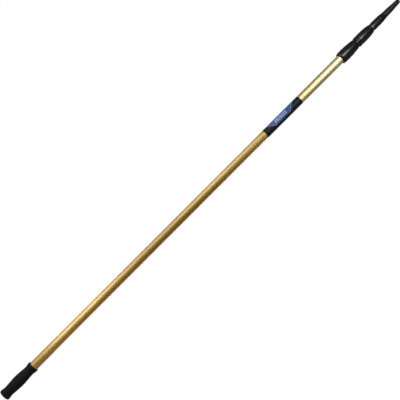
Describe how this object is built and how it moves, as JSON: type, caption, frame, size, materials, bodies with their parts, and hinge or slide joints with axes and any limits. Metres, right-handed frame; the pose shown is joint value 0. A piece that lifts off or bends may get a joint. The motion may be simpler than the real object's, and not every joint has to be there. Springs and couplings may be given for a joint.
{
  "type": "telescopic extension pole",
  "caption": "Telescopic paint roller pole: nested aluminium tubes, moulded hand grip, screw-down twist locks and a tapered tip for the roller frame.",
  "frame": {"origin": "centre of the flat butt end, on the pole's axis", "axes": "+Z along the pole from the butt end to the tapered tip; +X to the right and +Y to the back when the label's wide side is on the left"},
  "size_m": [0.0394, 0.0394, 1.726],
  "materials": {
    "gold_tube": "satin gold anodised",
    "pale_tube": "satin natural anodised",
    "grip_rubber": "matt moulded",
    "black_moulding": "satin gloss moulded",
    "label_film": "printed gloss film",
    "nylon": "natural moulded",
    "plated_steel": "zinc plated"
  },
  "bodies": {
    "handle_section": {"outer_tube": "gold_tube", "butt_cap": "black_moulding", "hand_grip": "grip_rubber", "label_band": "label_film", "lock_body_1": "black_moulding", "lock_rivet_1_right": "plated_steel", "lock_rivet_1_left": "plated_steel"},
    "clamp_1": {"collet_1": "nylon"},
    "collar_1": {"twist_collar_1": "black_moulding"},
    "middle_guide": {"middle_guide_ring": "nylon"},
    "middle_section": {"middle_foot_plug": "nylon", "middle_tube": "pale_tube", "lock_body_2": "black_moulding", "lock_rivet_2_right": "plated_steel", "lock_rivet_2_left": "plated_steel"},
    "clamp_2": {"collet_2": "nylon"},
    "collar_2": {"twist_collar_2": "black_moulding"},
    "inner_guide": {"inner_guide_ring": "nylon"},
    "inner_section": {"inner_foot_plug": "nylon", "inner_tube": "pale_tube", "tip_socket": "black_moulding", "tapered_tip": "black_moulding", "tip_rivet": "plated_steel"}
  },
  "joints": [
    {"name": "clamp_1_release", "type": "slide", "parent": "handle_section", "child": "clamp_1", "axis": [0, 0, 1], "range_m": [0, 0.00125]},
    {"name": "collar_1_twist", "type": "hinge", "parent": "clamp_1", "child": "collar_1", "pos_m": [0, 0, 1.4921], "axis": [0, 0, 1], "range_deg": [0, 180]},
    {"name": "middle_section_slide", "type": "slide", "parent": "handle_section", "child": "middle_guide", "axis": [0, 0, 1], "range_m": [0, 1.295]},
    {"name": "middle_section_swivel", "type": "hinge", "parent": "middle_guide", "child": "middle_section", "pos_m": [0, 0, 0.81], "axis": [0, 0, 1], "continuous": true},
    {"name": "clamp_2_release", "type": "slide", "parent": "middle_section", "child": "clamp_2", "axis": [0, 0, 1], "range_m": [0, 0.00125]},
    {"name": "collar_2_twist", "type": "hinge", "parent": "clamp_2", "child": "collar_2", "pos_m": [0, 0, 1.5645], "axis": [0, 0, 1], "range_deg": [0, 180]},
    {"name": "inner_section_slide", "type": "slide", "parent": "middle_section", "child": "inner_guide", "axis": [0, 0, 1], "range_m": [0, 1.3]},
    {"name": "inner_section_swivel", "type": "hinge", "parent": "inner_guide", "child": "inner_section", "pos_m": [0, 0, 0.9], "axis": [0, 0, 1], "continuous": true}
  ],
  "couplings": [
    {"joint": "clamp_1_release", "follows": "collar_1_twist", "m_per_rad": 0.00039789},
    {"joint": "clamp_2_release", "follows": "collar_2_twist", "m_per_rad": 0.00039789}
  ]
}
